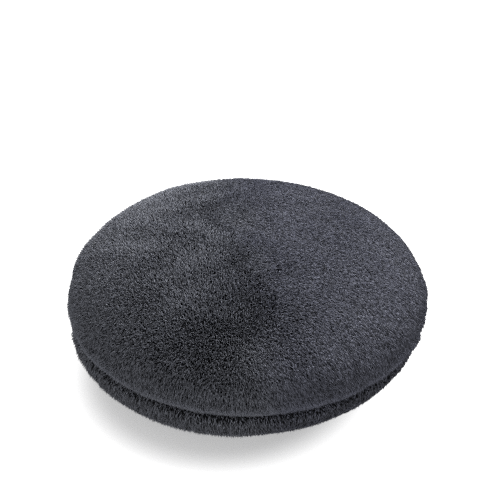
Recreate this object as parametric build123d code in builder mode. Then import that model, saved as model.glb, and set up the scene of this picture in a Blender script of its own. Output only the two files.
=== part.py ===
from build123d import *
import math
import os

# Round floor cushion: a fur-fabric cover of two domed panels sewn rim to rim, closed by a coil zip
# in the rear half of the rim seam, over a separate casing filled with loose polyester fibre.
# Millimetres. +Z is up, the origin is the centre of the flat patch that rests on the floor,
# and the zip is centred on +Y. Azimuths are in degrees, counter-clockwise from +X.

# Overall form, pile included
cover_diameter = 600.0  # widest ring, on the upper panel
crown_rise = 138.0  # top of the crown above the seam
seam_height = 112.0  # rim seam above the floor
crown_flat_diameter = 40.0  # where the crown is level
foot_diameter = 240.0  # flat patch under the lower panel

# Rim: both panels roll in to the seam, which lies at the bottom of a groove
groove_depth = 24.0  # how far the upper panel overhangs the seam
upper_roll = 16.0  # widest ring of the upper panel above the seam
lower_overhang = 20.0  # how far the lower panel overhangs the seam
lower_roll = 14.0  # widest ring of the lower panel below the seam

# Cover fabric
panel_thickness = 12.0  # pile and backing together
hem_height = 12.0  # turned-in edge of each panel, above or below the seam
hem_depth = 8.0  # from the seam in to the face of the turned-in edge
seam_thread = 0.8  # thickness of the thread rows, section square
seam_thread_height = 1.2

# Zip opening in the rim
zip_centre_azimuth = 90.0
zip_travel = 118.0  # degrees that the slider runs through
slot_height = 10.0  # gap between the two turned-in edges along the zip
tape_thickness = 0.8
coil_depth = 2.4  # radial thickness of a coil
coil_height = 2.2
coil_gap = 1.4  # between the two coils
stitch_row_depth = 0.3
stitch_row_height = 0.8
stitch_row_inset = 3.0  # from the tape's far edge
stop_depth = 2.9
stop_overlap = 0.3  # how far a stop is taller than its coil
top_stop_length = 2.5
bottom_stop_length = 3.0
tack_length = 3.0
tack_depth = 2.4

# Slider and pull tab
slider_length = 9.0
slider_height = 8.6
slider_nose_height = 6.8  # narrower trailing end
plate_thickness = 1.4
plate_corner = 1.2
slider_clearance = 0.5  # between a plate and the tape or coil it passes
flange_thickness = 0.9
flange_clearance = 0.4  # above and below the coils
flange_reach_gap = 0.5  # between a flange and the tape
post_thickness = 0.8
post_length = 2.6
post_offset = 1.6  # from the slider's middle, towards the closed end
bridge_length = 6.4
bridge_width = 2.0
bridge_height = 3.2
bridge_corner = 1.4
hinge_height = 1.6  # pin centre above the outer plate
pin_diameter = 1.2
pin_clearance = 0.05  # radial, in the bridge's hole
tab_length = 24.0  # pin centre to the tab's tip
tab_width = 6.0
tab_tip_width = 4.6
tab_thickness = 1.2
tab_corner = 1.0
tab_window_width = 2.6
tab_window_length = 4.4

# Care label, blank and folded small, on the inside of the front seam
label_azimuth = 270.0
label_width = 30.0
label_height = 11.0
label_thickness = 0.4

# Insert
insert_rim_gap = 6.0  # between the insert and the turned-in edges or the rims
insert_shoulder_gap = 2.0  # between the insert and the folds over those edges
insert_crown_gap = 1.0  # under the crown of the upper panel
casing_thickness = 1.0
closing_arc = 34.0  # degrees of the insert's seam that are closed by hand
closing_stitches = 12
closing_stitch_width = 1.0
closing_stitch_height = 6.0
filling_gap = 0.05  # between the filling and its casing

# Radii and heights that follow
cover_radius = cover_diameter / 2
seam_radius = cover_radius - groove_depth
lower_radius = seam_radius + lower_overhang
crown_flat = crown_flat_diameter / 2
foot_radius = foot_diameter / 2
hem_radius = seam_radius - hem_depth
upper_inside = cover_radius - panel_thickness
lower_inside = lower_radius - panel_thickness
crown_centre = seam_height + upper_roll
bowl_centre = seam_height - lower_roll
lower_hem_edge = seam_height - hem_height
upper_hem_edge = seam_height + hem_height
crown_height = seam_height + crown_rise
crown_inside = crown_height - panel_thickness
insert_radius = hem_radius - insert_rim_gap
slot_reach = 2 * (cover_radius - hem_radius) + slot_height


def degrees_along(length, radius):
    return math.degrees(length / radius)


# Azimuths along the zip, from the open end to the closed end
slider_half = degrees_along(slider_length / 2, hem_radius)
swing = degrees_along(tab_length + 4, hem_radius)
open_azimuth = zip_centre_azimuth - zip_travel / 2
closed_azimuth = zip_centre_azimuth + zip_travel / 2
slot_start = open_azimuth - swing
slot_end = closed_azimuth + swing
slot_arc = slot_end - slot_start
front_arc = 360 - slot_arc
stop_gap = degrees_along(0.5, hem_radius)
top_stop_start = closed_azimuth + slider_half + stop_gap
top_stop_arc = degrees_along(top_stop_length, hem_radius)
bottom_stop_arc = degrees_along(bottom_stop_length, hem_radius)
bottom_stop_start = open_azimuth - slider_half - stop_gap - bottom_stop_arc
coil_start = bottom_stop_start + bottom_stop_arc
coil_arc = top_stop_start - coil_start
tack_arc = degrees_along(tack_length, hem_radius)

sides = (("upper", 1), ("lower", -1))


def section_at(azimuth):
    # upright plane through the cushion's axis: local x is the radius, local y the height
    angle = math.radians(azimuth)
    outward = (math.cos(angle), math.sin(angle), 0)
    return Plane(origin=(0, 0, 0), x_dir=outward, z_dir=(math.sin(angle), -math.cos(angle), 0))


def write(piece, name):
    piece.part.label = name
    export_step(piece.part, f"parts/{name}.step")


os.makedirs("parts", exist_ok=True)

# Upper panel: elliptical crown, rolled in to the seam, turned up inside as the hem
with BuildPart() as cover_top_panel:
    with BuildSketch(section_at(0)):
        with BuildLine():
            crown_outer = (cover_radius - crown_flat, crown_height - crown_centre)
            crown_inner = (upper_inside - crown_flat, crown_inside - crown_centre)
            EllipticalCenterArc((crown_flat, crown_centre), *crown_outer, 0, arc_size=90)
            EllipticalCenterArc((seam_radius, crown_centre), groove_depth, upper_roll, -90, arc_size=90)
            Line((seam_radius, seam_height), (hem_radius, seam_height))
            Line((hem_radius, seam_height), (hem_radius, upper_hem_edge))
            Line((hem_radius, upper_hem_edge), (upper_inside, crown_centre))
            EllipticalCenterArc((crown_flat, crown_centre), *crown_inner, 0, arc_size=90)
            Line((crown_flat, crown_inside), (0, crown_inside))
            Line((0, crown_inside), (0, crown_height))
            Line((0, crown_height), (crown_flat, crown_height))
        make_face()
    revolve(axis=Axis.Z)
    with BuildSketch(section_at(slot_start)):
        with Locations((hem_radius, seam_height)):
            Rectangle(slot_reach, slot_height)
    revolve(axis=Axis.Z, revolution_arc=slot_arc, mode=Mode.SUBTRACT)
write(cover_top_panel, "cover_top_panel")

# Lower panel: shallow bowl with a flat foot, rolled in to the seam, turned down inside as the hem
with BuildPart() as cover_bottom_panel:
    with BuildSketch(section_at(0)):
        with BuildLine():
            bowl_outer = (lower_radius - foot_radius, bowl_centre)
            bowl_inner = (lower_inside - foot_radius, bowl_centre - panel_thickness)
            EllipticalCenterArc((seam_radius, bowl_centre), lower_overhang, lower_roll, 0, arc_size=90)
            EllipticalCenterArc((foot_radius, bowl_centre), *bowl_outer, -90, arc_size=90)
            Line((foot_radius, 0), (0, 0))
            Line((0, 0), (0, panel_thickness))
            Line((0, panel_thickness), (foot_radius, panel_thickness))
            EllipticalCenterArc((foot_radius, bowl_centre), *bowl_inner, -90, arc_size=90)
            Line((lower_inside, bowl_centre), (hem_radius, lower_hem_edge))
            Line((hem_radius, lower_hem_edge), (hem_radius, seam_height))
            Line((hem_radius, seam_height), (seam_radius, seam_height))
        make_face()
    revolve(axis=Axis.Z)
    with BuildSketch(section_at(slot_start)):
        with Locations((hem_radius, seam_height)):
            Rectangle(slot_reach, slot_height)
    revolve(axis=Axis.Z, revolution_arc=slot_arc, mode=Mode.SUBTRACT)
write(cover_bottom_panel, "cover_bottom_panel")

# Thread that joins the two panels round the front, seen on the inside of the hem
with BuildPart() as cover_seam_thread:
    with BuildSketch(section_at(slot_end)):
        with Locations((hem_radius, seam_height)):
            Rectangle(seam_thread, seam_thread_height, align=(Align.MAX, Align.CENTER))
    revolve(axis=Axis.Z, revolution_arc=front_arc)
write(cover_seam_thread, "cover_seam_thread")

# Zip tapes, inside the turned-in edges, each with its coil on the outer face
tape_low = coil_gap / 2
tape_height = hem_height - tape_low
for side, sign in sides:
    with BuildPart() as zip_tape:
        with BuildSketch(section_at(slot_start)):
            with Locations((hem_radius, seam_height + sign * (tape_low + tape_height / 2))):
                Rectangle(tape_thickness, tape_height, align=(Align.MAX, Align.CENTER))
        revolve(axis=Axis.Z, revolution_arc=slot_arc)
    write(zip_tape, f"zip_tape_{side}")

    with BuildPart() as zip_coil:
        with BuildSketch(section_at(coil_start)):
            with Locations((hem_radius, seam_height + sign * (coil_gap + coil_height) / 2)):
                Rectangle(coil_depth, coil_height, align=(Align.MIN, Align.CENTER))
        revolve(axis=Axis.Z, revolution_arc=coil_arc)
    write(zip_coil, f"zip_coil_{side}")

    with BuildPart() as zip_stitching:
        with BuildSketch(section_at(slot_start)):
            with Locations((hem_radius - tape_thickness, seam_height + sign * (hem_height - stitch_row_inset))):
                Rectangle(stitch_row_depth, stitch_row_height, align=(Align.MAX, Align.CENTER))
        revolve(axis=Axis.Z, revolution_arc=slot_arc)
    write(zip_stitching, f"zip_stitching_{side}")

# Top stops, one crimped on the closed end of each coil
stop_height = coil_height + stop_overlap
with BuildPart() as zip_top_stops:
    with BuildSketch(section_at(top_stop_start)):
        with Locations(*[(hem_radius, seam_height + sign * (coil_gap + stop_height) / 2) for _, sign in sides]):
            Rectangle(stop_depth, stop_height, align=(Align.MIN, Align.CENTER))
    revolve(axis=Axis.Z, revolution_arc=top_stop_arc)
write(zip_top_stops, "zip_top_stops")

# Bottom stop, one block across both coils at the open end
with BuildPart() as zip_bottom_stop:
    with BuildSketch(section_at(bottom_stop_start)):
        with Locations((hem_radius, seam_height)):
            Rectangle(stop_depth, coil_gap + 2 * stop_height, align=(Align.MIN, Align.CENTER))
    revolve(axis=Axis.Z, revolution_arc=bottom_stop_arc)
write(zip_bottom_stop, "zip_bottom_stop")

# Bar tacks that close both ends of the opening, from one turned-in edge to the other
with BuildPart() as zip_bar_tacks:
    for start in (slot_start, slot_end - tack_arc):
        with BuildSketch(section_at(start)):
            with Locations((hem_radius, seam_height)):
                Rectangle(tack_depth, slot_height, align=(Align.MIN, Align.CENTER))
        revolve(axis=Axis.Z, revolution_arc=tack_arc)
write(zip_bar_tacks, "zip_bar_tacks")

# Slider, at the closed end. Local x runs along the zip towards the closed end, y is up, z is outward.
slider_angle = math.radians(closed_azimuth)
slider_plane = Plane(
    origin=(hem_radius * math.cos(slider_angle), hem_radius * math.sin(slider_angle), seam_height),
    x_dir=(-math.sin(slider_angle), math.cos(slider_angle), 0),
    z_dir=(math.cos(slider_angle), math.sin(slider_angle), 0),
)
outer_plate_level = coil_depth + slider_clearance
inner_plate_level = -tape_thickness - slider_clearance
pin_level = outer_plate_level + plate_thickness + hinge_height
flange_low = coil_gap / 2 + coil_height + flange_clearance
with BuildPart() as zip_slider_body:
    for level in (outer_plate_level, inner_plate_level - plate_thickness):
        with BuildSketch(slider_plane.offset(level)) as plate:
            with BuildLine():
                Polyline(
                    (-slider_length / 2, -slider_nose_height / 2),
                    (slider_length / 2, -slider_height / 2),
                    (slider_length / 2, slider_height / 2),
                    (-slider_length / 2, slider_nose_height / 2),
                    close=True,
                )
            make_face()
            fillet(plate.vertices(), plate_corner)
        extrude(amount=plate_thickness)
    with BuildSketch(slider_plane.offset(inner_plate_level)):
        with Locations((post_offset, 0)):
            Rectangle(post_length, post_thickness)
    extrude(amount=outer_plate_level - inner_plate_level)
    with BuildSketch(slider_plane.offset(flange_reach_gap)):
        for _, sign in sides:
            with Locations((post_offset, sign * (flange_low + flange_thickness / 2))):
                Rectangle(slider_length / 2, flange_thickness)
    extrude(amount=outer_plate_level - flange_reach_gap)
    with BuildSketch(slider_plane.offset(outer_plate_level + plate_thickness)):
        Rectangle(bridge_length, bridge_width)
    extrude(amount=bridge_height)
    bridge_ends = faces().sort_by(Axis(slider_plane.origin, slider_plane.z_dir))[-1]
    bridge_edges = bridge_ends.edges().filter_by(Axis.Z)
    fillet(bridge_edges, bridge_corner)
    with Locations(Plane(slider_plane.location * Location((0, 0, pin_level), (90, 0, 0)))):
        Hole(radius=pin_diameter / 2 + pin_clearance, depth=bridge_width)
write(zip_slider_body, "zip_slider_body")

# Pull tab, lying along the zip towards its middle, with the hinge pin across its window
with BuildPart() as zip_pull_tab:
    with BuildSketch(slider_plane.offset(pin_level - tab_thickness / 2)) as outline:
        with BuildLine():
            Polyline(
                (0, -tab_width / 2),
                (0, tab_width / 2),
                (-tab_length, tab_tip_width / 2),
                (-tab_length, -tab_tip_width / 2),
                close=True,
            )
        make_face()
        fillet(outline.vertices().sort_by(Axis(slider_plane.origin, slider_plane.x_dir))[:2], tab_corner)
        with Locations((-tab_window_length / 2, 0)):
            Rectangle(tab_window_length, tab_window_width, mode=Mode.SUBTRACT)
    extrude(amount=tab_thickness)
    with BuildSketch(Plane(slider_plane.location * Location((0, 0, pin_level), (90, 0, 0)))):
        Circle(pin_diameter / 2)
    extrude(amount=tab_width / 2, both=True)
write(zip_pull_tab, "zip_pull_tab")

# Care label, a blank strip of satin caught in the front seam and standing up inside
label_arc = degrees_along(label_width, hem_radius)
with BuildPart() as care_label:
    with BuildSketch(section_at(label_azimuth - label_arc / 2)):
        with Locations((hem_radius, seam_height + seam_thread_height)):
            Rectangle(label_thickness, label_height, align=(Align.MAX, Align.MIN))
    revolve(axis=Axis.Z, revolution_arc=label_arc)
write(care_label, "care_label")


# Insert: the form of the inside of the cover, a little slack, drawn in at its seam by the hems
def insert_outline(inset, upper):
    # draws half of the insert's section, drawn in by inset, and returns the height of its pole
    waist = insert_radius - inset
    if upper:
        rim = upper_inside - insert_rim_gap - inset
        shoulder = crown_centre + insert_shoulder_gap + inset
        waist_end = upper_hem_edge + insert_shoulder_gap + inset
        pole = crown_inside - insert_crown_gap - inset
        EllipticalCenterArc((crown_flat, shoulder), rim - crown_flat, pole - shoulder, 0, arc_size=90)
        Line((0, pole), (crown_flat, pole))
    else:
        rim = lower_inside - insert_rim_gap - inset
        shoulder = bowl_centre - insert_shoulder_gap - inset
        waist_end = lower_hem_edge - insert_shoulder_gap - inset
        pole = panel_thickness + inset
        EllipticalCenterArc((foot_radius, shoulder), rim - foot_radius, shoulder - pole, -90, arc_size=90)
        Line((0, pole), (foot_radius, pole))
    Line((rim, shoulder), (waist, waist_end))
    Line((waist, waist_end), (waist, seam_height))
    return pole


for name, upper in (("insert_case_top", True), ("insert_case_bottom", False)):
    with BuildPart() as insert_case:
        with BuildSketch(section_at(0)):
            with BuildLine():
                outer_pole = insert_outline(0, upper)
                inner_pole = insert_outline(casing_thickness, upper)
                Line((0, outer_pole), (0, inner_pole))
                Line((insert_radius - casing_thickness, seam_height), (insert_radius, seam_height))
            make_face()
        revolve(axis=Axis.Z)
    write(insert_case, name)

with BuildPart() as fibre_filling:
    with BuildSketch(section_at(0)):
        with BuildLine():
            top_pole = insert_outline(casing_thickness + filling_gap, True)
            bottom_pole = insert_outline(casing_thickness + filling_gap, False)
            Line((0, bottom_pole), (0, top_pole))
        make_face()
    revolve(axis=Axis.Z)
write(fibre_filling, "fibre_filling")

# Thread round the insert's seam, broken at the rear, where the filling went in
with BuildPart() as insert_seam_thread:
    with BuildSketch(section_at(zip_centre_azimuth + closing_arc / 2)):
        with Locations((insert_radius, seam_height)):
            Rectangle(seam_thread, seam_thread_height, align=(Align.MIN, Align.CENTER))
    revolve(axis=Axis.Z, revolution_arc=360 - closing_arc)
write(insert_seam_thread, "insert_seam_thread")

# Hand stitches across that opening
stitch_arc = degrees_along(closing_stitch_width, insert_radius)
stitch_pitch = closing_arc / closing_stitches
with BuildPart() as insert_closing_stitches:
    for index in range(closing_stitches):
        middle = zip_centre_azimuth - closing_arc / 2 + (index + 0.5) * stitch_pitch
        with BuildSketch(section_at(middle - stitch_arc / 2)):
            with Locations((insert_radius, seam_height)):
                Rectangle(seam_thread, closing_stitch_height, align=(Align.MIN, Align.CENTER))
        revolve(axis=Axis.Z, revolution_arc=stitch_arc)
write(insert_closing_stitches, "insert_closing_stitches")
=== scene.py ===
import math

import bpy
import numpy as np
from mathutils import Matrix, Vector, noise
from mathutils.bvhtree import BVHTree


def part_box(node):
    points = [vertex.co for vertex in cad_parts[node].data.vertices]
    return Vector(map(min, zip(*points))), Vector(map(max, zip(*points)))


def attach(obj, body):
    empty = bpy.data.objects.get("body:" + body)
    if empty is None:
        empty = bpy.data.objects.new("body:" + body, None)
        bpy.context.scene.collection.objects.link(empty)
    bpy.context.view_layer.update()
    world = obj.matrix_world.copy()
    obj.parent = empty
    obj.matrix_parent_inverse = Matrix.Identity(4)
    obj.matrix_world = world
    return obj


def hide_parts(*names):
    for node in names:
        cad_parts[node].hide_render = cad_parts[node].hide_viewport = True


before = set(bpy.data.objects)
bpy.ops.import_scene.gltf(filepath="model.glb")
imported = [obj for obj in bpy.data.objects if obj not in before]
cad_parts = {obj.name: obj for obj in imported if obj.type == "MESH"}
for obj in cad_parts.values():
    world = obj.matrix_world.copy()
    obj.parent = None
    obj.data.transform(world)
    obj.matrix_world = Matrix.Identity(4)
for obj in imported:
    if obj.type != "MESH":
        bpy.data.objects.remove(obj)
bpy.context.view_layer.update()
print("frame loaded:", len(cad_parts), "nodes")

upperLow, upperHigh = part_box("cover_top_panel")
lowerLow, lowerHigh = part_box("cover_bottom_panel")
tapeLow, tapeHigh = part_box("zip_tape_upper")

# Metres. The first four come from the frame, the rest shape the rim and the foot between them.
form = {
    "coverRadius": upperHigh.x,
    "lowerRadius": lowerHigh.x,
    "seamHeight": lowerHigh.z,
    "crownHeight": upperHigh.z,
    "grooveDepth": 0.024,
    "upperRoll": 0.016,
    "lowerRoll": 0.010,
    "crownFlat": 0.020,
    "footRadius": 0.120,
    "hemRadius": tapeHigh.y + 0.00005,
    "hemHeight": 0.012,
    "slotHalf": 0.005,
    "slotFrom": math.atan2(tapeLow.y, tapeHigh.x),
    "slotTo": math.atan2(tapeLow.y, tapeLow.x),
    "slotRamp": math.radians(1.5),
}
form["seamRadius"] = form["coverRadius"] - form["grooveDepth"]
form["crownCentre"] = form["seamHeight"] + form["upperRoll"]
form["bowlCentre"] = form["seamHeight"] - form["lowerRoll"]
quarterTurn = math.radians(90)


def smoothStep(low, high, value):
    t = np.clip((value - low) / (high - low), 0.0, 1.0)
    return t * t * (3 - 2 * t)


def mix(a, b, t):
    return a + (b - a) * t


class Socket:
    # a shader socket whose arithmetic adds Math nodes
    def __init__(self, finish, socket):
        self.finish = finish
        self.socket = socket

    def maths(self, operation, *values):
        return self.finish.node("ShaderNodeMath", {"operation": operation}, values)

    def __add__(self, other):
        return self.maths("ADD", self, other)

    def __radd__(self, other):
        return self.maths("ADD", other, self)

    def __sub__(self, other):
        return self.maths("SUBTRACT", self, other)

    def __rsub__(self, other):
        return self.maths("SUBTRACT", other, self)

    def __mul__(self, other):
        return self.maths("MULTIPLY", self, other)

    def __rmul__(self, other):
        return self.maths("MULTIPLY", other, self)

    def __pow__(self, other):
        return self.maths("POWER", self, other)

    def sine(self):
        return self.maths("SINE", self)

    def between(self, low, high):
        ramp = {"interpolation_type": "SMOOTHSTEP"}
        return self.finish.node("ShaderNodeMapRange", ramp, {0: self, 1: low, 2: high})


class NodeSheet:
    # a node tree, with one way to add any node to it
    def __init__(self, tree):
        self.tree = tree

    def feed(self, target, value):
        if isinstance(value, Socket):
            self.tree.links.new(value.socket, target)
        else:
            target.default_value = value

    def node(self, kind, settings, inputs, output=0):
        made = self.tree.nodes.new(kind)
        for key, value in settings.items():
            setattr(made, key, value)
        pairs = inputs.items() if isinstance(inputs, dict) else enumerate(inputs)
        for key, value in pairs:
            self.feed(made.inputs[key], value)
        return Socket(self, made.outputs[output])

    def part(self, vector, axis):
        return self.node("ShaderNodeSeparateXYZ", {}, [vector], axis)


class Finish(NodeSheet):
    # one material, with its Principled shader
    def __init__(self, name, values):
        self.material = bpy.data.materials.new(name)
        self.material.use_nodes = True
        super().__init__(self.material.node_tree)
        self.shader = self.tree.nodes["Principled BSDF"]
        for key, value in values.items():
            self.feed(self.shader.inputs[key], value)

    def place(self):
        return self.node("ShaderNodeTexCoord", {}, {}, "Object")

    def cloud(self, size, detail=2.0, roughness=0.5):
        values = {"Vector": self.place(), "Scale": 1 / size, "Detail": detail, "Roughness": roughness}
        return self.node("ShaderNodeTexNoise", {}, values)

    def blend(self, factor, a, b):
        return self.node("ShaderNodeMix", {"data_type": "RGBA"}, {0: factor, 6: a, 7: b}, 2)

    def colour(self, value):
        self.feed(self.shader.inputs["Base Color"], value)

    def rim(self):
        # distance in metres round the rim, and height above the floor
        place = self.place()
        x, y, z = (self.part(place, axis) for axis in "XYZ")
        return self.node("ShaderNodeMath", {"operation": "ARCTAN2"}, [y, x]) * form["hemRadius"], z

    def bump(self, height, strength, distance):
        values = {"Height": height, "Strength": strength, "Distance": distance}
        self.feed(self.shader.inputs["Normal"], self.node("ShaderNodeBump", {}, values))


# Where the pile changes direction, which is also where the painted sheen on its tips starts. Metres.
nap = {
    "line": -0.0040,
    "slant": -0.15,
    "edge": (-0.06, 0.07),  # either side of the line, where it starts and ends turning
    "turned": 0.45,  # it has turned by this share of the way, and leans over the whole way
    "waveHeight": 0.025,
    "waveRate": 19,
    "wavePhase": 1,
    "rippleHeight": 0.012,
    "rippleRate": (21, 47),
    "rimReach": (0.15, 0.30),  # radius from which it swings outwards
    "rimSwing": 0.55,
    "rimDroop": 0.45,
    "lowerAlong": 0.35,  # on the lower panel it lies mostly outwards and down
    "lowerOut": 0.9,
    "lowerDown": 0.9,
    "leanReach": (0.17, 0.29),
    "strayLean": 7,  # degrees
    "strayRate": (37, 41),
    "strayPhase": 1.7,
    "wander": 2,  # how far the stray bands bend from side to side, and how often
    "wanderRate": 29,
}

# Fur pile: dark at the root, lighter at the tip, each lock its own shade, in slow patches, with a painted
# bluish sheen on the tips past the nap line and a painted highlight on the tips over the rim
furLook = {
    "rootColour": (0.012, 0.0125, 0.015, 1),
    "neutralTip": (0.450, 0.469, 0.540, 1),
    # the second tip colour is a painted sheen: the bluish cast of side-lit fibres past the nap line
    "paintedSheenTip": (0.345, 0.358, 0.450, 1),
    "paintedSheenEdge": (-0.04, 0.05),
    "paintedSheenDrift": 0.12,
    "tipPower": 1.5,
    "shadePower": 1.4,
    "shadeLow": 0.15,
    "shadeHigh": 2.40,
    "paintedRimHighlight": 4.80,  # how much lighter the painted highlight makes the tips that turn over the rim
    "patchSize": 0.11,
    "patchDepth": 0.4,
    "roughness": 0.42,
    "specular": 0.5,
}


def makeFur():
    look = furLook
    fur = Finish("fur pile", {"Roughness": look["roughness"], "Specular IOR Level": look["specular"]})
    pile = fur.node("ShaderNodeAttribute", {"attribute_name": "pile"}, {}, "Vector")
    along = fur.part(pile, "X")
    shade = fur.part(pile, "Y")
    # painted highlight on the tips that turn over the rim
    paintedRimHighlight = 1 + fur.part(pile, "Z") * look["paintedRimHighlight"]
    place = fur.place()
    offset = fur.part(place, "X") - fur.part(place, "Y") * nap["slant"] - nap["line"]
    patches = fur.cloud(look["patchSize"])
    # painted sheen: past the nap line the tips take the bluish tip colour
    paintedSheen = (offset + (patches - 0.5) * look["paintedSheenDrift"]).between(*look["paintedSheenEdge"])
    tip = fur.blend(paintedSheen, look["neutralTip"], look["paintedSheenTip"])
    frosted = look["shadeLow"] + (shade ** look["shadePower"]) * look["shadeHigh"]
    brightness = (along ** look["tipPower"]) * frosted * paintedRimHighlight
    patchy = 1 - look["patchDepth"] / 2 + patches * look["patchDepth"]
    fur.colour(fur.blend(brightness * patchy, look["rootColour"], tip))
    return fur.material


furMaterial = makeFur()
backing = Finish("backing knit", {"Roughness": 0.9, "Specular IOR Level": 0.2})
backing.colour(backing.blend(backing.cloud(0.002), (0.008, 0.008, 0.010, 1), (0.02, 0.02, 0.024, 1)))


# The cover's two panels: a backing shell each, under the pile
cover = {
    "segments": 256,
    "crownRings": 40,
    "rollRings": 8,
    "footRings": 8,
    "pileDepth": 0.0075,  # the backing lies this far under the pile's outer envelope
    "lowerPileDepth": 0.0108,
    "shoulder": 0.0050,  # the lower panel stands out this much more near its widest ring
    "shoulderHeights": (0.050, 0.095),
    "backingThickness": 0.0030,
    "insertGap": 0.0012,
    "edgeInset": 0.0010,  # at the seam, where the pile starts from the edge
    "hemClear": 0.002,  # the inner surface starts this far from the hem's edge
    "footPile": 0.0025,  # crushed pile under the foot
    "footFade": 0.030,  # height over which it stands up again
}


def slotLift(angle):
    # how far the edge stands off the seam, which is where the zip opening runs
    ahead = smoothStep(form["slotFrom"], form["slotFrom"] + form["slotRamp"], angle)
    behind = smoothStep(form["slotTo"] - form["slotRamp"], form["slotTo"], angle)
    return form["slotHalf"] * (ahead - behind)


def upperRings(inset):
    # radius and height, from the pole out to the edge at the seam, and how much of the lift a ring takes
    rings = []
    top = form["crownHeight"] - inset
    widest = form["coverRadius"] - inset
    edge = form["seamRadius"] - cover["edgeInset"]
    for k in range(cover["crownRings"]):
        a = quarterTurn * (1 - k / cover["crownRings"])
        radius = form["crownFlat"] + (widest - form["crownFlat"]) * math.cos(a)
        height = form["crownCentre"] + (top - form["crownCentre"]) * math.sin(a)
        rings.append((radius, height, 0))
    for k in range(cover["rollRings"] + 1):
        a = quarterTurn * k / cover["rollRings"]
        drop = math.sin(a)
        rings.append((mix(edge, widest, math.cos(a)), form["crownCentre"] - form["upperRoll"] * drop, drop))
    return rings


def lowerRings(inset):
    # the same, from the foot out
    crushed = cover["lowerPileDepth"] - cover["footPile"]
    steps = cover["footRings"]
    rings = [(form["footRadius"] * k / steps, inset - crushed, 0) for k in range(1, steps)]
    edge = form["seamRadius"] - cover["edgeInset"]
    across = form["lowerRadius"] - form["footRadius"]
    for k in range(cover["crownRings"] + 1):
        a = quarterTurn * (k / cover["crownRings"] - 1)
        height = form["bowlCentre"] * (1 + math.sin(a))
        depth = inset - cover["shoulder"] * smoothStep(*cover["shoulderHeights"], height)
        depth -= crushed * (1 - smoothStep(0, cover["footFade"], height))
        slope = Vector((math.cos(a) / across, math.sin(a) / form["bowlCentre"])).normalized()
        radius = form["footRadius"] + across * math.cos(a)
        rings.append((radius - slope.x * depth, height - slope.y * depth, 0))
    widest = rings[-1][0]
    for k in range(1, cover["rollRings"] + 1):
        a = quarterTurn * k / cover["rollRings"]
        rise = math.sin(a)
        height = form["bowlCentre"] + form["lowerRoll"] * rise
        rings.append((mix(widest, edge, 1 - math.cos(a)), height, -rise))
    return rings


# What keeps the cover from being perfectly round. Metres, and azimuths from +X.
unevenness = {
    "lumpSize": 0.09,
    "lumpHeight": 0.0016,
    "lumpPlace": (3.1, 7.7, 1.3),
    "lumpRise": 1.6,  # above 1 a lump is wider than it is tall
    "evenBeside": 0.03,  # it grows to its whole height this far from the seam
    "smallestRadius": 0.05,
    "puckerSize": 0.024,  # where the seam gathers the rims
    "puckerHeight": 0.0042,
    "puckerRise": 0.4,  # below 1 a pucker is taller than it is wide
    "puckerLift": 0.5,
    "puckerFrom": (0.002, 0.012),  # heights off the seam
    "puckerTo": (0.020, 0.055),
    "puckerRim": (-0.002, 0.008),  # radii past the seam
    "crownTilt": -0.012,  # height for each metre to the right
    "shift": -0.0105,  # the lower half has settled to one side
    "shiftDepth": 0.060,
    "tuck": 0.0070,  # and is drawn in a little there
    "tuckAngle": math.radians(-46),
    "tuckWidth": math.radians(26),
    "tuckReach": (0.1, 0.25),
}


def lumped(point, low):
    x, y, z = point
    off = abs(z - form["seamHeight"])
    radius = max(math.hypot(x, y), unevenness["smallestRadius"])
    spot = Vector((x, y, z * unevenness["lumpRise"])) / unevenness["lumpSize"]
    lump = noise.noise(spot + Vector(unevenness["lumpPlace"])) * unevenness["lumpHeight"]
    away = smoothStep(0, unevenness["evenBeside"], off)
    rim = smoothStep(*unevenness["puckerFrom"], off) * (1 - smoothStep(*unevenness["puckerTo"], off))
    inside, outside = unevenness["puckerRim"]
    rim *= smoothStep(form["seamRadius"] + inside, form["seamRadius"] + outside, radius)
    gathered = noise.noise(Vector((x, y, z * unevenness["puckerRise"] + low)) / unevenness["puckerSize"])
    pucker = unevenness["puckerHeight"] * rim * gathered
    scale = 1 + (lump * away + pucker) / radius
    x, y, z = x * scale, y * scale, z + pucker * unevenness["puckerLift"]
    if low:
        below = smoothStep(0, unevenness["shiftDepth"], form["seamHeight"] - z)
        aside = (math.atan2(y, x) - unevenness["tuckAngle"]) / unevenness["tuckWidth"]
        radius = max(math.hypot(x, y), unevenness["smallestRadius"])
        tucked = unevenness["tuck"] * math.exp(-aside * aside) * smoothStep(*unevenness["tuckReach"], radius)
        drawn = 1 - tucked * below / radius
        x, y = x * drawn + unevenness["shift"] * below, y * drawn
    else:
        z += (lump + unevenness["crownTilt"] * x) * away
    return x, y, z


def ringPoints(ring, low):
    radius, height, lift = ring
    points = []
    for k in range(cover["segments"]):
        angle = 2 * math.pi * k / cover["segments"]
        z = height + lift * float(slotLift(angle))
        points.append(lumped((radius * math.cos(angle), radius * math.sin(angle), z), low))
    return points


# The stuffing pressing the cloth out: a little spare fabric, held along the seam and at the foot
stuffing = {
    "frames": 16,
    "quality": 4,
    "pressure": 3.0,
    "spareCloth": 0.012,
    "clothMass": 0.3,
    "stretch": 20,
    "bend": 1.2,
    "airDamping": 3,
    "furthestOut": 0.0024,
    "furthestIn": 0.0006,
    "heldRings": 2,  # beside the seam
    "heldBelow": 0.004,  # height of the foot
    "inset": 0.0016,  # the panel starts this much smaller
}


def ringFaces(rings, count):
    # quads between neighbouring rings, facing in when the rings run outwards and up
    faces = []
    for ring in range(rings - 1):
        for k in range(count):
            a, b = ring * count + k, ring * count + (k + 1) % count
            faces.append((a, b, b + count, a + count))
    return faces


def readPoints(collection, field):
    values = np.empty(len(collection) * 3)
    collection.foreach_get(field, values)
    return values.reshape(-1, 3)


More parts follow.
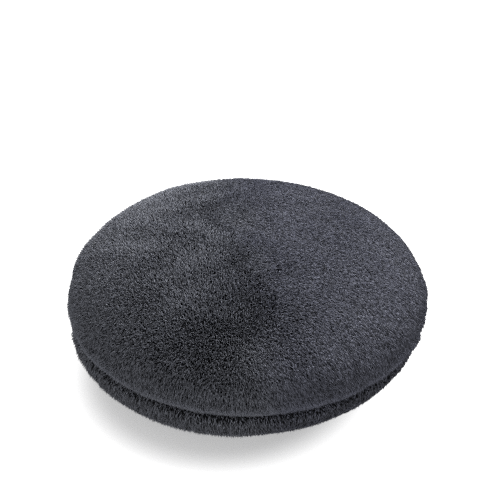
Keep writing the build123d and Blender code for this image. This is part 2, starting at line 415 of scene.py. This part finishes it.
def runCloth(cloth, heldPoints):
    held = cloth.vertex_groups.new(name="held")
    held.add(heldPoints, 1.0, "REPLACE")
    modifier = cloth.modifiers.new("stuffing", "CLOTH")
    settings = modifier.settings
    settings.quality = stuffing["quality"]
    settings.mass = stuffing["clothMass"]
    settings.tension_stiffness = stuffing["stretch"]
    settings.compression_stiffness = stuffing["stretch"]
    settings.bending_stiffness = stuffing["bend"]
    settings.air_damping = stuffing["airDamping"]
    settings.use_pressure = True
    settings.uniform_pressure_force = stuffing["pressure"]
    settings.shrink_min = -stuffing["spareCloth"]
    settings.vertex_group_mass = "held"
    settings.effector_weights.gravity = 0
    modifier.point_cache.frame_start = 1
    modifier.point_cache.frame_end = stuffing["frames"]
    for frameNumber in range(1, stuffing["frames"] + 1):
        bpy.context.scene.frame_set(frameNumber)
    shaped = cloth.evaluated_get(bpy.context.evaluated_depsgraph_get()).to_mesh()
    return readPoints(shaped.vertices, "co"), readPoints(shaped.vertex_normals, "vector")


def stuffed(name, grid, low):
    # the grid is rings by segments by xyz, and comes back as the simulation leaves it
    ringCount, count, _ = grid.shape
    faces = ringFaces(ringCount, count)
    mesh = bpy.data.meshes.new("stuffing")
    mesh.from_pydata(grid.reshape(-1, 3).tolist(), [], faces if low else [f[::-1] for f in faces])
    cloth = bpy.data.objects.new("stuffing", mesh)
    bpy.context.scene.collection.objects.link(cloth)
    heldPoints = []
    for ring in range(ringCount):
        beside = ring >= ringCount - stuffing["heldRings"]
        foot = low and grid[ring, 0, 2] < stuffing["heldBelow"]
        if ring == 0 or beside or foot:
            heldPoints.extend(range(ring * count, (ring + 1) * count))
    places, normals = runCloth(cloth, heldPoints)
    bpy.data.objects.remove(cloth)
    bpy.data.meshes.remove(mesh)
    bpy.context.scene.frame_set(1)
    normals = normals.reshape(grid.shape)
    out = ((places.reshape(grid.shape) - grid) * normals).sum(2, keepdims=True)
    print(name, "stuffed: moved out by", round(float(out.mean() * 1000), 2), "mm")
    furthest = np.where(out > 0, stuffing["furthestOut"], stuffing["furthestIn"])
    return grid + normals * furthest * np.tanh(out / furthest)


def outsideInsert(grid):
    # the cover lies over the insert: no point of it sinks into the casing
    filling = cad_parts["fibre_filling"]
    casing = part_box("insert_case_top")[1].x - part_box("fibre_filling")[1].x
    tree = BVHTree.FromObject(filling, bpy.context.evaluated_depsgraph_get())
    toFilling = filling.matrix_world.inverted()
    points = grid.reshape(-1, 3).copy()
    moved = 0
    for k, point in enumerate(points):
        place, normal, _, _ = tree.find_nearest(toFilling @ Vector(point))
        place = filling.matrix_world @ place
        normal = (filling.matrix_world.to_3x3() @ normal).normalized()
        short = casing + cover["insertGap"] - (Vector(point) - place).dot(normal)
        if short > 0:
            points[k] += np.array(normal) * short
            moved += 1
    print("points held off the insert:", moved)
    return points.reshape(grid.shape)


def makePanel(name, low):
    # the outer surface, the hem turned in at the seam, and the inner surface back to the middle
    ringsOf = lowerRings if low else upperRings
    depth = cover["lowerPileDepth"] if low else cover["pileDepth"]
    side = -1 if low else 1
    count = cover["segments"]
    outer = ringsOf(depth + stuffing["inset"])
    hemEdge = form["seamHeight"] + side * form["hemHeight"]
    hem = [(form["hemRadius"], form["seamHeight"], side), (form["hemRadius"], hemEdge, 0)]
    inner = ringsOf(depth + cover["backingThickness"])
    inner = [r for r in inner if (r[1] - hemEdge) * side > cover["hemClear"]]
    within = hem + inner[::-1]
    grid = stuffed(name, np.array([ringPoints(ring, low) for ring in outer]), low)
    vertices = [tuple(point) for point in outsideInsert(grid).reshape(-1, 3)]
    for ring in within:
        vertices.extend(ringPoints(ring, low))
    ringCount = len(outer) + len(within)
    faces = ringFaces(ringCount, count)
    for ring in (0, ringCount - 1):
        pole = len(vertices)
        middle = sum((Vector(vertices[ring * count + k]) for k in range(count)), Vector()) / count
        vertices.append(tuple(middle))
        for k in range(count):
            a, b = ring * count + k, ring * count + (k + 1) % count
            faces.append((pole, b, a) if ring == 0 else (pole, a, b))
    mesh = bpy.data.meshes.new(name)
    mesh.from_pydata(vertices, [], [f if low else f[::-1] for f in faces])
    mesh.shade_smooth()
    mesh.materials.append(backing.material)
    panel = bpy.data.objects.new(name, mesh)
    bpy.context.scene.collection.objects.link(panel)
    return panel, (len(outer) - 1) * count


upperPanel, upperFaces = makePanel("upper_panel_backing", False)
lowerPanel, lowerFaces = makePanel("lower_panel_backing", True)
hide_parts("cover_top_panel")
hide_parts("cover_bottom_panel")
for panel in (upperPanel, lowerPanel):
    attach(panel, "cushion")
print("panels made")

# The pile, grown in separate locks. Lengths in metres, angles in degrees from upright.
upperPile = {
    "name": "upper_pile",
    "count": 190000,
    "length": 0.0112,
    "width": 0.00102,
    "leanNeutral": 28,
    "leanCool": 58,
    "leanRim": 12,  # added towards the rim
    "leanBack": 70,  # and for each metre towards the back
    "leanMost": 74,  # how much less it leans where the two meet
    "turnNeutral": 6,
    "turnCool": 42,
    "spread": 12,
    "clumpSize": 0.0026,
    "clumpPull": 0.32,
    "tuftShade": 0.30,  # share of a lock's shade that it has from its tuft
    "seamLength": 0.50,  # share of the length that is left at the seam
    "seamReach": 0.016,  # height over which it grows to the full length
    "seed": 11,
}
lowerPile = {
    "name": "lower_pile",
    "count": 76000,
    "length": 0.0105,
    "width": 0.00125,
    "leanNeutral": 44,
    "leanCool": 70,
    "leanRim": 6,
    "leanBack": 0,
    "leanMost": 84,
    "turnNeutral": 0,
    "turnCool": 20,
    "spread": 22,
    "clumpSize": 0.0034,
    "clumpPull": 0.40,
    "tuftShade": 0.40,
    "seamLength": 0.55,
    "seamReach": 0.010,
    "seed": 23,
}
# One lock: a closed three-sided spike, bent once. Shares are of its own length or width.
lock = {
    "mostInOnePiece": 19000,
    "shortest": 0.72,
    "longer": 0.45,
    "thinnest": 0.75,
    "thicker": 0.5,
    "bendAt": 0.45,
    "leanBelow": 0.55,
    "leanAbove": 1.25,
    "leanSpread": 9,  # degrees
    "pullBelow": 0.3,
    "tuftMargin": 0.15,  # share of its cell that the middle of a tuft keeps clear of
    "seamFrom": 0.001,  # height off the seam where the pile starts to grow longer
    "footWidth": 0.42,
    "bendWidth": 0.5,
    "sunk": 0.0006,
    "crushedLength": 0.6,
    "crushedLean": 84,
    "crushedBelow": 0.004,
    "lowestBend": 0.0012,
    "lowestTip": 0.0004,
    "offZip": 0.0040,
    "paintedRimHighlightFrom": (0.0, 0.006),  # heights off the seam
    "paintedRimHighlightTo": (0.010, 0.022),
    "paintedRimHighlightAcross": (-0.02, 0.06),  # the painted highlight, from the left half at half strength to the right half at full strength
}


def unit(vectors):
    return vectors / np.maximum(np.linalg.norm(vectors, axis=1, keepdims=True), 1e-12)


def cornersOf(panel, faceCount):
    # the outer surface as triangles, and its smooth normals
    mesh = panel.data
    mesh.calc_loop_triangles()
    triangles = np.empty(len(mesh.loop_triangles) * 3, np.int32)
    mesh.loop_triangles.foreach_get("vertices", triangles)
    owner = np.empty(len(mesh.loop_triangles), np.int32)
    mesh.loop_triangles.foreach_get("polygon_index", owner)
    inMiddle = len(mesh.polygons) - 2 * cover["segments"]
    keep = (owner < faceCount) | ((owner >= inMiddle) & (owner < inMiddle + cover["segments"]))
    places = readPoints(mesh.vertices, "co")
    return triangles.reshape(-1, 3)[keep], places, readPoints(mesh.vertex_normals, "vector")


def napDirection(roots, normals, pile, low):
    # the way the pile lies, tangent to the surface, and how far it leans
    x, y, z = roots.T
    wave = nap["waveHeight"] * np.sin(y * nap["waveRate"] + nap["wavePhase"])
    wave = wave + nap["rippleHeight"] * np.sin(y * nap["rippleRate"][1] + x * nap["rippleRate"][0])
    side = smoothStep(*nap["edge"], x - nap["slant"] * y - nap["line"] + wave)
    turn = np.radians(mix(pile["turnNeutral"], pile["turnCool"], smoothStep(0, nap["turned"], side)))
    lie = np.stack([np.sin(turn), -np.cos(turn), np.zeros_like(turn)], 1)
    radius = np.hypot(x, y)
    outward = np.stack([x, y, np.zeros_like(x)], 1) / np.maximum(radius, 1e-6)[:, None]
    facing = 0.5 + 0.5 * (outward * lie).sum(1)
    rim = (smoothStep(*nap["rimReach"], radius) * facing)[:, None]
    if low:
        outward[:, 2] = -nap["lowerDown"]
        lie = lie * nap["lowerAlong"] + outward * nap["lowerOut"]
    else:
        lie = lie + outward * nap["rimSwing"] * rim
        lie[:, 2] -= nap["rimDroop"] * rim[:, 0]
    tangent = unit(lie - normals * (lie * normals).sum(1, keepdims=True))
    lean = mix(pile["leanNeutral"], pile["leanCool"], side)
    lean = lean + pile["leanRim"] * smoothStep(*nap["leanReach"], radius) + pile["leanBack"] * y
    wander = nap["wander"] * np.sin(y * nap["wanderRate"])
    stray = np.sin(x * nap["strayRate"][0] + wander) * np.sin(y * nap["strayRate"][1] + nap["strayPhase"])
    lean = lean + nap["strayLean"] * stray
    return tangent, np.radians(np.clip(lean, 0, pile["leanMost"]))


def hashed(cells, seed):
    # three numbers from 0 to 1 for each whole-number cell
    mixed = cells[:, 0] * 73856093 ^ cells[:, 1] * 19349663 ^ cells[:, 2] * 83492791 ^ seed * 2654435761
    found = []
    for k in range(3):
        mixed = (mixed * 6364136223846793005 + 1442695040888963407) & 0x7FFFFFFFFFFFFFFF
        found.append((mixed >> 33) / float(1 << 30))
    return np.stack(found, 1) % 1.0


def scatter(panel, faceCount, count, rng):
    # roots spread evenly over the outer surface, in a random order
    triangles, places, vertexNormals = cornersOf(panel, faceCount)
    a, b, c = (places[triangles[:, k]] for k in range(3))
    areas = np.linalg.norm(np.cross(b - a, c - a), axis=1)
    spaced = (np.arange(count) + rng.random(count)) / count
    chosen = np.searchsorted(np.cumsum(areas) / areas.sum(), spaced).clip(0, len(areas) - 1)
    u, v = rng.random(count), rng.random(count)
    flip = u + v > 1
    u, v = np.where(flip, 1 - u, u), np.where(flip, 1 - v, v)
    weights = np.stack([1 - u - v, u, v], 1)
    corners = triangles[chosen]
    roots = (places[corners] * weights[:, :, None]).sum(1)
    normals = unit((vertexNormals[corners] * weights[:, :, None]).sum(1))
    order = rng.permutation(count)
    return roots[order], normals[order]


def growPile(panel, faceCount, pile, low):
    rng = np.random.default_rng(pile["seed"])
    count = pile["count"]
    roots, normals = scatter(panel, faceCount, count, rng)
    tangent, lean = napDirection(roots, normals, pile, low)
    swing = np.radians(rng.normal(0, pile["spread"], count))
    across = np.cross(normals, tangent)
    lying = tangent * np.cos(swing)[:, None] + across * np.sin(swing)[:, None]
    lean = lean + np.radians(rng.normal(0, lock["leanSpread"], count))
    length = pile["length"] * (lock["shortest"] + lock["longer"] * rng.random(count))
    offSeam = np.abs(roots[:, 2] - form["seamHeight"])
    length = length * mix(pile["seamLength"], 1, smoothStep(lock["seamFrom"], pile["seamReach"], offSeam))
    if low:
        crushed = smoothStep(lock["crushedBelow"], cover["footFade"], roots[:, 2])
        length = length * mix(lock["crushedLength"], 1, crushed)
        lean = mix(np.radians(lock["crushedLean"]), lean, crushed)
    lower, upper = lean * lock["leanBelow"], lean * lock["leanAbove"]
    first = normals * np.cos(lower)[:, None] + lying * np.sin(lower)[:, None]
    second = normals * np.cos(upper)[:, None] + lying * np.sin(upper)[:, None]

    # neighbours share a tuft and lean together
    cells = np.floor(roots / pile["clumpSize"]).astype(np.int64)
    within = 1 - 2 * lock["tuftMargin"]
    centres = (cells + lock["tuftMargin"] + within * hashed(cells, pile["seed"])) * pile["clumpSize"]
    pull = centres - roots
    pull -= normals * (pull * normals).sum(1, keepdims=True)
    bendAt = (length * lock["bendAt"])[:, None]
    middle = roots + first * bendAt + pull * pile["clumpPull"] * lock["pullBelow"]
    tips = middle + second * (length[:, None] - bendAt) + pull * pile["clumpPull"]
    middle, tips = clearOfZip(middle, low), clearOfZip(tips, low)
    if low:
        middle[:, 2] = np.maximum(middle[:, 2], lock["lowestBend"])
        tips[:, 2] = np.maximum(tips[:, 2], lock["lowestTip"])
    tuft = hashed(cells, pile["seed"] + 5)[:, 0]
    shade = mix(rng.random(count), tuft, pile["tuftShade"])
    # painted highlight on the upper tips just above the seam, stronger on the right
    paintedRimHighlight = smoothStep(*lock["paintedRimHighlightFrom"], offSeam) * (1 - smoothStep(*lock["paintedRimHighlightTo"], offSeam))
    paintedRimHighlight = paintedRimHighlight * mix(0.5, 1.0, smoothStep(*lock["paintedRimHighlightAcross"], roots[:, 0])) * (0 if low else 1)
    width = pile["width"] * (lock["thinnest"] + lock["thicker"] * rng.random(count))

    for number, start in enumerate(range(0, count, lock["mostInOnePiece"])):
        s = slice(start, min(start + lock["mostInOnePiece"], count))
        name = f"{pile['name']}_{number + 1:02d}"
        piece = makeLocks(name, roots[s], normals[s], middle[s], tips[s], width[s], shade[s], paintedRimHighlight[s])
        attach(piece, "cushion")


def clearOfZip(points, low):
    # along the zip opening the pile is combed off the coils and the slider
    angle = np.arctan2(points[:, 1], points[:, 0])
    inside = (angle > form["slotFrom"]) & (angle < form["slotTo"])
    side = -1 if low else 1
    off = (points[:, 2] - form["seamHeight"]) * side
    moved = points.copy()
    combed = form["seamHeight"] + side * lock["offZip"]
    moved[:, 2] = np.where(inside & (off < lock["offZip"]), combed, points[:, 2])
    return moved


def makeLocks(name, roots, normals, middle, tips, width, shade, paintedRimHighlight):
    count = len(roots)
    along = unit(tips - roots)
    flat = unit(np.cross(along, normals))
    deep = np.cross(along, flat)
    vertices = np.empty((count, 7, 3))
    sunk = roots - normals * lock["sunk"]
    for k in range(3):
        angle = math.radians(90 + 120 * k)
        ray = flat * math.cos(angle) + deep * math.sin(angle)
        vertices[:, k] = sunk + ray * (width * lock["footWidth"])[:, None]
        vertices[:, 3 + k] = middle + ray * (width * lock["bendWidth"])[:, None]
    vertices[:, 6] = tips
    tint = np.empty((count, 7, 4))
    tint[:, :3, 0], tint[:, 3:6, 0], tint[:, 6, 0] = 0.0, 0.5, 1.0
    tint[:, :, 1] = shade[:, None]
    # the painted rim highlight
    tint[:, :, 2] = paintedRimHighlight[:, None]
    tint[:, :, 3] = 1.0

    sides = [(k, (k + 1) % 3, 3 + (k + 1) % 3, 3 + k) for k in range(3)]
    points = [(3 + k, 3 + (k + 1) % 3, 6) for k in range(3)]
    faces = [(2, 1, 0), *sides, *points]
    corners = np.array([i for face in faces for i in face])
    sizes = np.array([len(face) for face in faces])
    starts = np.cumsum(sizes) - sizes
    step = np.arange(count)[:, None]
    mesh = bpy.data.meshes.new(name)
    mesh.vertices.add(count * 7)
    mesh.vertices.foreach_set("co", vertices.ravel())
    mesh.loops.add(count * len(corners))
    mesh.loops.foreach_set("vertex_index", (step * 7 + corners).ravel().astype(np.int32))
    mesh.polygons.add(count * len(sizes))
    mesh.polygons.foreach_set("loop_start", (step * len(corners) + starts).ravel().astype(np.int32))
    mesh.update(calc_edges=True)
    mesh.shade_smooth()
    layer = mesh.attributes.new("pile", "FLOAT_COLOR", "POINT")
    layer.data.foreach_set("color", tint.ravel())

    # one cell of the map for each lock, its root at the foot of the cell
    footSpots = [(0.15, 0.02), (0.85, 0.02), (0.5, 0.1)]
    sideSpots = [(0.15, 0.1), (0.85, 0.1), (0.85, 0.5), (0.15, 0.5)]
    pointSpots = [(0.15, 0.5), (0.85, 0.5), (0.5, 0.95)]
    spots = np.array(footSpots + sideSpots * 3 + pointSpots * 3)
    across = math.ceil(math.sqrt(count))
    cells = np.stack([step[:, 0] % across, step[:, 0] // across], 1)
    bakeMap = mesh.uv_layers.new(name="OFBake")
    bakeMap.uv.foreach_set("vector", ((cells[:, None, :] + spots[None]) / across).ravel())
    mesh.materials.append(furMaterial)
    piece = bpy.data.objects.new(name, mesh)
    bpy.context.scene.collection.objects.link(piece)
    return piece


growPile(upperPanel, upperFaces, upperPile, False)
growPile(lowerPanel, lowerFaces, lowerPile, True)
print("pile grown:", upperPile["count"] + lowerPile["count"], "locks")

# Zip, thread, label and insert: the frame's own pieces with their finishes
trim = {
    "threadPitch": 0.0009,  # one twist of the thread
    "tapeRib": 0.0011,
    "tapePick": 0.0007,
    "satinRib": 0.0004,
    "cottonPitch": 0.0006,
    "fibreSize": 0.006,
}
trimColours = {
    "thread": ((0.010, 0.010, 0.012, 1), (0.040, 0.041, 0.047, 1)),
    "casingThread": ((0.55, 0.54, 0.52, 1), (0.86, 0.85, 0.83, 1)),
    "tape": ((0.008, 0.008, 0.010, 1), (0.032, 0.033, 0.038, 1)),
    "coil": ((0.012, 0.012, 0.014, 1), (0.030, 0.030, 0.034, 1)),
    "plate": ((0.055, 0.055, 0.060, 1), (0.135, 0.135, 0.145, 1)),
    "satin": ((0.66, 0.65, 0.63, 1), (0.84, 0.83, 0.81, 1)),
    "cotton": ((0.60, 0.59, 0.56, 1), (0.84, 0.83, 0.80, 1)),
    "fibre": ((0.70, 0.70, 0.69, 1), (0.90, 0.90, 0.89, 1)),
}


def wave(value, pitch):
    # 0 to 1 and back over each pitch
    return (value * (2 * math.pi / pitch)).sine() * 0.5 + 0.5


def twistedThread(name, colours):
    finish = Finish(name, {"Roughness": 0.75, "Specular IOR Level": 0.3, "Sheen Weight": 0.2})
    along, height = finish.rim()
    ply = wave(along + height * 0.8, trim["threadPitch"])
    finish.colour(finish.blend(ply * 0.7 + finish.cloud(0.0006) * 0.3, *colours))
    finish.bump(ply, 0.6, 0.0002)
    return finish.material


def wovenTape(name, colours):
    # herringbone: the twill leans the other way on each rib
    finish = Finish(name, {"Roughness": 0.8, "Specular IOR Level": 0.25, "Sheen Weight": 0.15})
    along, height = finish.rim()
    rib = wave(height, trim["tapeRib"] * 2)
    lean = rib.between(0.45, 0.55) * 2 - 1
    pick = wave(along + height * lean, trim["tapePick"])
    cloth = pick * 0.6 + rib * 0.2 + finish.cloud(0.0008) * 0.2
    finish.colour(finish.blend(cloth, *colours))
    finish.bump(pick * 0.7 + rib * 0.3, 0.7, 0.00015)
    return finish.material


def nylonCoil(name, colours):
    finish = Finish(name, {"Specular IOR Level": 0.55})
    worn = finish.cloud(0.004, 3.0)
    finish.colour(finish.blend(worn, *colours))
    finish.feed(finish.shader.inputs["Roughness"], 0.28 + worn * 0.2)
    finish.bump(finish.cloud(0.0008), 0.15, 0.0001)
    return finish.material


def platedZinc(name, colours):
    # dark plating, rubbed brighter in places, with fine marks
    finish = Finish(name, {"Metallic": 1.0})
    rubbed = finish.cloud(0.0035, 4.0, 0.6).between(0.42, 0.68)
    marks = finish.cloud(0.0007, 5.0, 0.7)
    finish.colour(finish.blend(rubbed, *colours))
    finish.feed(finish.shader.inputs["Roughness"], 0.22 + marks * 0.25)
    finish.bump(marks, 0.12, 0.0001)
    return finish.material


def ribbonSatin(name, colours):
    finish = Finish(name, {"Roughness": 0.38, "Specular IOR Level": 0.5, "Sheen Weight": 0.3})
    along, height = finish.rim()
    rib = wave(height, trim["satinRib"])
    floats = wave(along + height * 3.0, trim["satinRib"] * 3)
    finish.colour(finish.blend(rib * 0.5 + floats * 0.3 + finish.cloud(0.003) * 0.2, *colours))
    finish.bump(rib * 0.6 + floats * 0.4, 0.35, 0.0001)
    return finish.material


def plainWeave(name, colours):
    # one over, one under, square to X and Y as the round casing is cut from the roll
    finish = Finish(name, {"Roughness": 0.85, "Specular IOR Level": 0.25, "Sheen Weight": 0.2})
    place = finish.place()
    x, y = finish.part(place, "X"), finish.part(place, "Y")
    warp = wave(x, trim["cottonPitch"] * 2)
    weft = wave(y, trim["cottonPitch"] * 2)
    over = warp * weft + (1 - warp) * (1 - weft)
    slub = finish.cloud(0.012, 3.0)
    finish.colour(finish.blend(over * 0.6 + slub * 0.4, *colours))
    finish.bump(over, 0.5, 0.00015)
    return finish.material


def looseFibre(name, colours):
    finish = Finish(name, {"Roughness": 0.95, "Specular IOR Level": 0.1, "Sheen Weight": 0.4})
    curls = finish.cloud(trim["fibreSize"], 8.0, 0.7)
    tufts = finish.cloud(trim["fibreSize"] * 6, 2.0)
    finish.colour(finish.blend(curls * 0.6 + tufts * 0.4, *colours))
    finish.bump(curls * 0.6 + tufts * 0.4, 0.9, 0.002)
    return finish.material


coilMaterial = nylonCoil("nylon coil", trimColours["coil"])
nodeFinishes = {
    twistedThread("dark sewing thread", trimColours["thread"]): (
        "cover_seam_thread", "zip_stitching_upper", "zip_stitching_lower", "zip_bar_tacks"),
    twistedThread("white casing thread", trimColours["casingThread"]): (
        "insert_seam_thread", "insert_closing_stitches"),
    wovenTape("herringbone zip tape", trimColours["tape"]): ("zip_tape_upper", "zip_tape_lower"),
    platedZinc("dark plated zinc", trimColours["plate"]): (
        "zip_slider_body", "zip_pull_tab", "zip_top_stops", "zip_bottom_stop"),
    ribbonSatin("white satin ribbon", trimColours["satin"]): ("care_label",),
    plainWeave("white casing cotton", trimColours["cotton"]): ("insert_case_top", "insert_case_bottom"),
    looseFibre("polyester fibre", trimColours["fibre"]): ("fibre_filling",),
}
for material, nodes in nodeFinishes.items():
    for node in nodes:
        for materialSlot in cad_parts[node].material_slots:
            materialSlot.material = material
print("trim finished:", sum(len(nodes) for nodes in nodeFinishes.values()), "nodes")

# The two coils: a nylon filament wound round and round along each tape
coil = {
    "pitch": 0.00125,
    "wire": 0.00054,
    "samples": 12,  # points in a turn
    "sides": 5,
    "headGap": 0.0005,  # heads to the middle of the zip
    "lift": 0.00028,  # the filament's middle over the tape
    "squareness": 0.75,  # below 1 the turns are fuller than a circle
}


def coilLine(low, high, side):
    # the filament's middle line: turns squared off a little between the tape and the coil's outer face
    depth = high.y - form["hemRadius"]
    far = (high.z if side > 0 else low.z) - form["seamHeight"]
    start = math.atan2(low.y, high.x)
    end = math.atan2(low.y, low.x)
    turns = int((end - start) * form["hemRadius"] / coil["pitch"])
    count = turns * coil["samples"]
    wire = coil["wire"] / 2
    t = np.arange(count + 1) / coil["samples"] * 2 * math.pi
    angle = start + (end - start) * np.arange(count + 1) / count
    swing, rise = np.cos(t), np.sin(t)
    swing = np.sign(swing) * np.abs(swing) ** coil["squareness"]
    rise = np.sign(rise) * np.abs(rise) ** coil["squareness"]
    out = (depth - wire + coil["lift"]) / 2
    radius = form["hemRadius"] + out + swing * (depth - wire - coil["lift"]) / 2
    head = side * (coil["headGap"] + wire)
    foot = far - side * wire
    height = form["seamHeight"] + (head + foot) / 2 + side * rise * abs(foot - head) / 2
    points = np.stack([radius * np.cos(angle), radius * np.sin(angle), height], 1)
    return points, angle, turns


def makeCoil(name, node, side):
    points, angle, turns = coilLine(*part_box(node), side)
    ahead = unit(np.gradient(points, axis=0))
    rimward = np.stack([-np.sin(angle), np.cos(angle), np.zeros_like(angle)], 1)
    normal = unit(np.cross(ahead, rimward))
    other = np.cross(ahead, normal)
    sides = coil["sides"]
    vertices = []
    for k in range(sides):
        a = 2 * math.pi * k / sides
        vertices.append(points + (normal * math.cos(a) + other * math.sin(a)) * coil["wire"] / 2)
    vertices = np.stack(vertices, 1).reshape(-1, 3)
    last = len(points) - 1
    faces = ringFaces(last + 1, sides)
    faces.append(tuple(range(sides))[::-1])
    faces.append(tuple(last * sides + k for k in range(sides)))

    # one cell of the map for each turn, and the two ends in a corner of it
    spots = []
    across = math.ceil(math.sqrt(turns))
    for ring in range(last):
        turn, step = divmod(ring, coil["samples"])
        for k in range(sides):
            for left, up in ((k, step), (k + 1, step), (k + 1, step + 1), (k, step + 1)):
                spots.append(((turn % across + 0.1 + 0.8 * left / sides) / across,
                              (turn // across + 0.1 + 0.8 * up / coil["samples"]) / across))
    ends = [(0.5 + 0.001 * math.cos(k), 0.999 + 0.0005 * math.sin(k)) for k in range(sides)]
    spots.extend(ends + ends)
    mesh = bpy.data.meshes.new(name)
    mesh.from_pydata(vertices.tolist(), [], faces)
    mesh.shade_smooth()
    bakeMap = mesh.uv_layers.new(name="OFBake")
    bakeMap.uv.foreach_set("vector", np.array(spots).ravel())
    mesh.materials.append(coilMaterial)
    piece = bpy.data.objects.new(name, mesh)
    bpy.context.scene.collection.objects.link(piece)
    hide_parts(node)
    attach(piece, "cushion")


makeCoil("coil_upper", "zip_coil_upper", 1)
makeCoil("coil_lower", "zip_coil_lower", -1)
print("coils wound")

# Floor, light and camera
studio = {
    "floorRadius": 7.0,
    "sweep": 4.0,
    "sweepSteps": 12,
    "floorSides": 96,
    "floorColour": (0.90, 0.90, 0.90, 1),
    "paintedShadowMiddle": (-0.05, -0.05),  # the floor glows less round this point: a painted shadow of the cushion, on top of its rendered shadow
    "paintedShadowNear": 0.19,
    "paintedShadowFar": 0.28,
    "glowInPaintedShadow": 0.38,
    "glowHigh": 1.0,
    "skyStrength": 0.50,
    "belowStrength": 0.22,
    "skyEdge": (-0.25, 0.10),
    "sunStrength": 3.7,
    "sunAngle": 40,
    "sunFrom": (0.44, 0.84, 1.06),
    "cameraElevation": 37.1,
    "cameraDistance": 1.846,
    "focalLength": 78.9,
    "aimHeight": 0.102,
    "aimLeft": -2.0 / 500,
    "aimDown": 52.7 / 500,
}


def makeFloor():
    # a round floor that sweeps up into a wall
    rings = [(0.01, 0), (studio["floorRadius"], 0)]
    sweep = studio["sweep"]
    for k in range(1, studio["sweepSteps"] + 1):
        a = quarterTurn * k / studio["sweepSteps"]
        rings.append((studio["floorRadius"] + sweep * math.sin(a), sweep * (1 - math.cos(a))))
    count = studio["floorSides"]
    vertices = []
    for radius, height in rings:
        for k in range(count):
            angle = 2 * math.pi * k / count
            vertices.append((radius * math.cos(angle), radius * math.sin(angle), height))
    faces = [f[::-1] for f in ringFaces(len(rings), count)]
    faces.append(tuple(range(count)))
    mesh = bpy.data.meshes.new("floor")
    mesh.from_pydata(vertices, [], faces)
    mesh.shade_smooth()
    floor = bpy.data.objects.new("floor", mesh)
    bpy.context.scene.collection.objects.link(floor)

    finish = Finish("studio floor", {
        "Base Color": studio["floorColour"],
        "Roughness": 0.9,
        "Emission Strength": 1.0,
    })
    # the glow is dimmed in a disc round the cushion: a painted shadow on the floor
    place = finish.place()
    aside = finish.part(place, "X") - studio["paintedShadowMiddle"][0]
    ahead = finish.part(place, "Y") - studio["paintedShadowMiddle"][1]
    away = ((aside * aside + ahead * ahead) ** 0.5).between(studio["paintedShadowNear"], studio["paintedShadowFar"])
    glowWithPaintedShadow = studio["glowInPaintedShadow"] + away * (studio["glowHigh"] - studio["glowInPaintedShadow"])
    finish.feed(finish.shader.inputs["Emission Color"], finish.blend(glowWithPaintedShadow, (0, 0, 0, 1), (1, 1, 1, 1)))
    mesh.materials.append(finish.material)
    # the floor stays white without lighting the cushion from below
    floor.visible_diffuse = False
    floor.visible_glossy = False


def makeLight():
    # an even sky, dimmer below the horizon, and one large soft lamp behind on the right
    world = bpy.data.worlds.new("studio")
    world.use_nodes = True
    background = world.node_tree.nodes["Background"]
    background.inputs["Color"].default_value = (1, 1, 1, 1)
    sky = NodeSheet(world.node_tree)
    height = sky.part(sky.node("ShaderNodeTexCoord", {}, {}, "Generated"), "Z")
    above = height.between(*studio["skyEdge"])
    strength = studio["belowStrength"] + above * (studio["skyStrength"] - studio["belowStrength"])
    sky.feed(background.inputs["Strength"], strength)
    bpy.context.scene.world = world

    lamp = bpy.data.lights.new("softbox", "SUN")
    lamp.energy = studio["sunStrength"]
    lamp.angle = math.radians(studio["sunAngle"])
    sun = bpy.data.objects.new("softbox", lamp)
    sun.rotation_euler = Vector(studio["sunFrom"]).to_track_quat("Z", "Y").to_euler()
    bpy.context.scene.collection.objects.link(sun)


def makeCamera():
    target = Vector((0, 0, studio["aimHeight"]))
    lift = math.radians(studio["cameraElevation"])
    back = Vector((0, -math.cos(lift), math.sin(lift)))
    lens = bpy.data.cameras.new("camera")
    lens.lens = studio["focalLength"]
    camera = bpy.data.objects.new("camera", lens)
    camera.location = target + back * studio["cameraDistance"]
    # the cushion sits a little below the middle, so the camera is turned up from it
    turn = back.to_track_quat("Z", "Y")
    perFrame = lens.sensor_width / lens.lens
    aim = Vector((-studio["aimLeft"] * perFrame, studio["aimDown"] * perFrame, -1))
    camera.rotation_euler = (turn @ aim).to_track_quat("-Z", "Y").to_euler()
    bpy.context.scene.collection.objects.link(camera)
    bpy.context.scene.camera = camera


makeFloor()
makeLight()
makeCamera()
bpy.context.scene.view_settings.view_transform = "Standard"
bpy.context.scene.cycles.use_denoising = False  # it smooths the fine pile away
